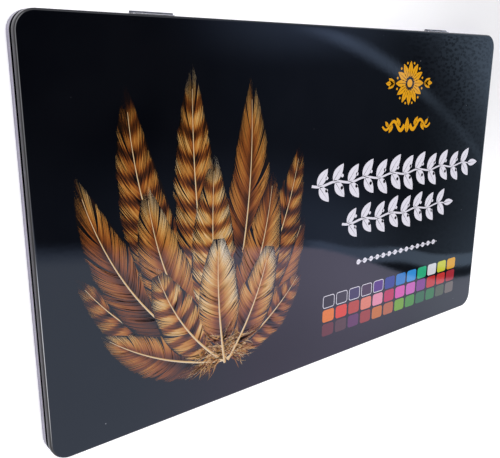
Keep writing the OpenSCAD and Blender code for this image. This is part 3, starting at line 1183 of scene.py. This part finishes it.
print("a leaf has", len(leaf_halves(0, 0, 0, 8, 4)), "halves")


# %% Strokes
def ribbon_faces(steps):
    """Faces of a ribbon whose points lie in pairs."""
    return [(2 * i, 2 * i + 1, 2 * i + 3, 2 * i + 2) for i in range(steps)]


def stroke(line, start_width, end_width, layer=2):
    """A pen stroke along a line of points, from one width to another."""
    points = []
    for i, (a, d) in enumerate(line):
        a0, d0 = line[max(i - 1, 0)]
        a1, d1 = line[min(i + 1, len(line) - 1)]
        long = math.hypot(a1 - a0, d1 - d0)
        half = (start_width + (end_width - start_width) * i / (len(line) - 1)) / 2
        out_a, out_d = -(d1 - d0) / long * half, (a1 - a0) / long * half
        points += [on_lid(a + out_a, d + out_d, layer), on_lid(a - out_a, d - out_d, layer)]
    return points, ribbon_faces(len(line) - 1)


print("a stroke of three points has", len(stroke([(0, 0), (5, 0), (9, 1)], 1.0, 0.5)[1]), "faces")


# %% Print the white borders
def leaf_border(middle, down, long, high, leaves):
    """A wavy stem with a pair of leaves at each step, and a berry between, ending in a single leaf."""
    def stem(s):
        wave = math.sin(s * leaves * math.pi) * high * 0.05
        return middle - long / 2 + (long - high * 0.55) * s, down + wave

    parts = [stroke([stem(i / 80) for i in range(81)], 1.5, 0.9)]
    for step in range(leaves):
        s = (step + 0.35) / leaves
        foot_across, foot_down = stem(s)
        size = high * (0.80 - 0.14 * abs(s - 0.5) * 2)
        parts += leaf_halves(foot_across, foot_down - 0.4, 50, size, size * 0.52, 0.35)
        parts += leaf_halves(foot_across + 1.6, foot_down + 0.4, -50, size, size * 0.52, 0.35)
        berry_across, berry_down = stem((step + 0.95) / leaves)
        if step < leaves - 1:
            for way in (-1, 1):
                parts.append(dot(berry_across - 0.2, berry_down + way * high * 0.20, high * 0.06))
    return parts + leaf_halves(*stem(1.0), 0, high * 0.62, high * 0.26)


fine_left, fine_down, fine_long, fine_count = 194.0, 137.0, 81.0, 14
white_parts = leaf_border(middle=234.5, down=85.0, long=159.0, high=18.0, leaves=12)
white_parts += leaf_border(middle=235.0, down=110.5, long=109.0, high=17.0, leaves=8)
for step in range(fine_count):
    across = fine_left + fine_long * (step + 0.5) / fine_count
    white_parts += leaf_halves(across - 2.1, fine_down, 0, 4.2, 3.4, 0.3)
    white_parts.append(dot(across + 2.9, fine_down, 0.45))
borders = make_piece("white_borders", *gather(white_parts), [white_ink])
settle(borders, "lid", "printed_tinplate")

# %% Draw the gold rosette
rose_across, rose_down = 234.5, 30.0
petal_foot, dot_ring, side_foot = 3.6, 12.2, 14.2
gold_parts = []
for angle in range(0, 360, 30):
    ahead, up = turned_to(angle)
    foot = rose_across + petal_foot * ahead, rose_down + petal_foot * up
    gold_parts += leaf_halves(*foot, angle, 9.6, 4.2, 0.45)
    ahead, up = turned_to(angle + 15)
    gold_parts.append(dot(rose_across + dot_ring * ahead, rose_down + dot_ring * up, 0.75))
gold_parts.append(dot(rose_across, rose_down, 2.4, 3, 24))
for way in (-1, 1):
    for lean, long, wide in ((0, 8.0, 3.4), (28, 6.4, 2.6), (-28, 6.4, 2.6)):
        angle = lean if way > 0 else 180 - lean
        gold_parts += leaf_halves(rose_across + way * side_foot, rose_down, angle, long, wide)
print("the rosette has", len(gold_parts), "shapes")

# %% Draw the gold scroll and print both
scroll_down, scroll_high, scroll_gap, scroll_long = 55.0, 3.3, 2.6, 20.4
scroll_leaves = [
    # distance from the middle, down, upright angle, lean, length, width
    (6.6, 55.4, 90, -35, 6.2, 3.0),
    (13.6, 54.4, -90, 35, 5.8, 2.8),
    (17.6, 55.6, 90, -40, 4.6, 2.3),
]
for way in (-1, 1):
    scroll = []
    for s in [step / 30 for step in range(31)]:
        rise = scroll_high * math.sin(s * 3 * math.pi) * (1 - 0.4 * s)
        scroll.append((rose_across + way * (scroll_gap + scroll_long * s), scroll_down + rise))
    gold_parts.append(stroke(scroll, 2.6, 1.2))
    for out, down, upright, lean, long, wide in scroll_leaves:
        gold_parts += leaf_halves(rose_across + way * out, down, upright + way * lean, long, wide, 0.3)
gold_parts += leaf_halves(rose_across, 59.8, 90, 9.4, 4.2)
gold = make_piece("gold_ornament", *gather(gold_parts), [print_ink("gold", "eaa614", 0.93)])
settle(gold, "lid", "printed_tinplate")

# %% [markdown]
# ## The picture
# The picture is a spray of feathers in browns, rust, gold and cream. A feather is a shaft with a row of
# barbs on each side, and each barb here is a thin curved strip of its own. They part in clumps as real
# ones do. Loose down stands at the foot.
#
# Each barb needs a colour, and there are thousands. Instead of many materials there is one painter's
# scale from black brown to cream. A UV map, which normally places an image, tells each barb where it
# is on that scale: sideways for the tone, upwards for the way along the barb.

# %% Mix the feather ink
feather_scale = [
    (0.00, "0d0906"), (0.12, "2a170b"), (0.26, "552c12"), (0.40, "8c4c1b"), (0.54, "b97a34"),
    (0.66, "cfa05c"), (0.80, "dfc398"), (1.00, "f4ead8"),
]


def feather_ink():
    material, tree, shader = new_finish("feather_ink", IOR=1.5)
    tone, way, _ = axes(wire(tree, "ShaderNodeUVMap", uv_map="OFBake"))
    tone = tone + ramp(way, 0.0, 0.40, -0.13, 0.0) + ramp(way, 0.85, 1.0, 0.0, 0.05)
    colour = wire(tree, "ShaderNodeValToRGB", {0: tone})
    stops = colour.socket.node.color_ramp.elements
    for place, code in feather_scale[1:-1]:
        stops.new(place).color = ink(code)
    stops[0].color = ink(feather_scale[0][1])
    stops[len(stops) - 1].color = ink(feather_scale[-1][1])
    varnished(shader, colour)
    return material


print("feather scale has", len(feather_scale), "tones")


# %% Follow a bent line
def on_curve(curve, s):
    """A point and a unit direction at a share s of a bent line, given by its start, bend and end."""
    point, way = [], []
    for a, b, c in zip(*curve):
        point.append((1 - s) ** 2 * a + 2 * s * (1 - s) * b + s * s * c)
        way.append(2 * (1 - s) * (b - a) + 2 * s * (c - b))
    long = math.hypot(*way)
    return point, (way[0] / long, way[1] / long)


def beside(curve, s, out):
    """A point out to the side of a bent line."""
    point, along = on_curve(curve, s)
    return point[0] - along[1] * out, point[1] + along[0] * out


print("the middle of a bent line:", on_curve(((0, 0), (5, 4), (10, 0)), 0.5)[0])

# %% Draw one barb
barb_shares = (0.0, 0.2, 0.4, 0.6, 0.8, 1.0)
barb_widths = (1.0, 1.0, 0.95, 0.85, 0.65, 0.15)


def barb(curve, along, width, tones, layer):
    """A thin strip on a bent line, with its place on the scale at each share of its length."""
    points, uvs = [], []
    for q, wide, tone in zip(barb_shares, barb_widths, tones):
        a, d = on_curve(curve, q)[0]
        half = width / 2 * wide
        tone = min(max(tone, 0.02), 0.96)
        for side in (-1, 1):
            points.append(on_lid(a + side * along[0] * half, d + side * along[1] * half, layer))
            uvs.append((tone + side * 0.012, q))
    return points, ribbon_faces(len(barb_shares) - 1), uvs


def vane(share):
    """How wide a feather is at a share of its length, from 0 to 1: widest near the middle, then a point."""
    inside = min(max((share - 0.12) / 0.88, 0.0), 1.0)
    return math.sin(math.pi * inside**0.78) ** 0.75


print("half way up, a feather has", round(vane(0.5), 2), "of its full width")

# %% The shadow and the shaft of a feather
shadow_steps = 40
shaft_steps = 24


def feather_shadow(shaft, width, layer):
    """A dark shape under the feather, a little down and to the right of it."""
    points, uvs = [], []
    for i in range(shadow_steps + 1):
        s = 0.18 + 0.76 * i / shadow_steps
        for hand in (-1, 1):
            a, d = beside(shaft, s, hand * width / 2 * vane(s))
            points.append(on_lid(a + 0.7 * (1 - s), d + 0.9 * (1 - s), layer))
            uvs.append((0.0 if hand < 0 else 0.02, i / shadow_steps))
    return points, ribbon_faces(shadow_steps), uvs


def feather_shaft(shaft, layer):
    """A pale tapering quill, lighter on one side."""
    line = [on_curve(shaft, i / shaft_steps * 0.93)[0] for i in range(shaft_steps + 1)]
    uvs = [(tone, 0.30 + i / 60) for i in range(shaft_steps + 1) for tone in (0.62, 0.90)]
    return *stroke(line, 1.5, 0.2, layer), uvs


print("a shadow has", len(feather_shadow(((0, 0), (50, 5), (100, 0)), 20, 0)[1]), "faces")

# %% The barbs of a feather
barb_spacing = 0.5
barb_slant = 0.13


def feather_barbs(shaft, long, width, tone_at, layer, luck):
    """Both rows of barbs. They hang together in clumps, which differ in slant, length and shade."""
    barbs = []
    for hand in (-1, 1):
        s, clump = 0.14, 0
        while s < 1 - barb_slant + 0.012:
            if clump == 0:
                clump = luck.randint(3, 15)
                slip = luck.uniform(-0.014, 0.014)
                reach = luck.uniform(0.90, 1.05)
                shade = luck.uniform(-0.06, 0.06)
            clump -= 1
            ends = min(s + barb_slant + slip, 1.0)
            out = width / 2 * vane(ends) * reach * luck.uniform(0.96, 1.03)
            start, along = on_curve(shaft, s)
            bend = beside(shaft, s + (ends - s) * 0.38, hand * out * 0.62)
            mine = shade + luck.uniform(-0.06, 0.06)
            tones = [tone_at(s + (ends - s) * q, q * hand) + mine for q in barb_shares]
            wide = barb_spacing * luck.uniform(1.1, 1.9)
            curve = start, bend, beside(shaft, ends, hand * out)
            barbs.append(barb(curve, along, wide, tones, layer + luck.randint(1, 4)))
            s += barb_spacing / long
    return barbs


print("barbs stand", barb_spacing, "mm apart")


# %% Grow one feather
def feather_down(shaft, width, layer, luck, count=90):
    """Loose, pale down at the foot."""
    barbs = []
    for _ in range(count):
        s = luck.uniform(0.04, 0.22)
        start, along = on_curve(shaft, s)
        out = luck.choice((-1, 1)) * width * luck.uniform(0.15, 0.48)
        end = beside(shaft, s + luck.uniform(-0.02, 0.16), out)
        bend = beside(shaft, s + luck.uniform(-0.03, 0.05), out * 0.6)
        tones = [luck.uniform(0.30, 0.80)] * len(barb_shares)
        barbs.append(barb((start, bend, end), along, 0.36, tones, layer))
    return barbs


def feather(root, tip, lean, width, tone_at, layer, seed):
    """All strips of one feather. tone_at gives a tone from the shares along and across."""
    luck = random.Random(seed)
    long = math.dist(root, tip)
    side = (-(tip[1] - root[1]) / long, (tip[0] - root[0]) / long)
    shaft = root, [(r + t) / 2 + n * lean for r, t, n in zip(root, tip, side)], tip
    strips = [feather_shadow(shaft, width, layer)]
    strips += feather_barbs(shaft, long, width, tone_at, layer, luck)
    strips += feather_down(shaft, width, layer + 4, luck)
    return strips + [feather_shaft(shaft, layer + 5)]


print("one feather is", len(feather((0, 0), (100, 0), 5, 26, lambda s, q: 0.5, 0, 1)), "strips")


# %% Colour the feathers
def soft_step(value, low, high):
    share = min(max((value - low) / (high - low), 0.0), 1.0)
    return share * share * (3 - 2 * share)


def barred(base, dark, bars, pale=0.0):
    """Crossbars that lean towards the tip, which is dark, or pale if a tone is given."""
    def tone(share, cross):
        wave = math.sin((share * bars - 0.45 * abs(cross)) * 2 * math.pi)
        value = base + 0.10 * abs(cross) + (dark - base) * soft_step(wave, 0.0, 0.5)
        return value + ((pale or dark) - value) * soft_step(share, 0.93, 0.97)
    return tone


def shaded(foot, belly, tip, centre=0.0):
    """Runs from the foot's tone to the belly's and on to the tip's, with a darker centre if asked."""
    def tone(share, cross):
        value = foot + (belly - foot) * soft_step(share, 0.15, 0.60)
        value += (tip - belly) * soft_step(share, 0.74, 0.97)
        return value + 0.06 * cross - centre * (1 - soft_step(abs(cross), 0.2, 0.7))
    return tone


print("a barred feather's tip has tone", round(barred(0.5, 0.1, 9)(1.0, 0.0), 2))

# %% Arrange the feathers
layers_each = 8
spray = [
    # root, tip, how far the shaft bows, width, tones
    ((92, 170), (16, 110), -16, 22, barred(0.46, 0.16, 11)),
    ((95, 170), (150, 100), 14, 24, shaded(0.16, 0.42, 0.20)),
    ((92, 170), (19, 66), -26, 25, shaded(0.16, 0.44, 0.58, 0.08)),
    ((94, 169), (146, 60), 18, 26, barred(0.48, 0.16, 12)),
    ((92, 169), (44, 29), -24, 27, barred(0.46, 0.12, 14)),
    ((93, 169), (112, 26), 14, 28, shaded(0.18, 0.48, 0.62, 0.10)),
    ((92, 169), (78, 20), -10, 26, barred(0.54, 0.20, 13, 0.78)),
    ((93, 172), (26, 140), -10, 22, shaded(0.24, 0.50, 0.68, 0.08)),
    ((96, 172), (149, 132), 9, 22, barred(0.44, 0.16, 9)),
    ((93, 171), (52, 72), -18, 27, shaded(0.26, 0.54, 0.74, 0.12)),
    ((95, 171), (127, 74), 12, 27, shaded(0.24, 0.56, 0.34, 0.10)),
    ((94, 171), (90, 62), -7, 27, barred(0.62, 0.30, 11, 0.90)),
    ((95, 173), (55, 112), -12, 25, barred(0.58, 0.28, 8, 0.84)),
    ((97, 173), (126, 110), 8, 24, shaded(0.34, 0.64, 0.86, 0.10)),
    ((95, 174), (92, 100), -4, 25, shaded(0.42, 0.74, 0.92, 0.12)),
]
strips = []
for number, plan in enumerate(spray):
    strips += feather(*plan, number * layers_each, 100 + number)
feathers = make_piece("feather_picture", *gather([piece[:2] for piece in strips]), [feather_ink()])
feather_uvs = [uv for *_, uvs in strips for uv in uvs]
tone_map = feathers.data.uv_layers.new(name="OFBake")
for corner in feathers.data.loops:
    tone_map.data[corner.index].uv = feather_uvs[corner.vertex_index]
settle(feathers, "lid", "printed_tinplate")
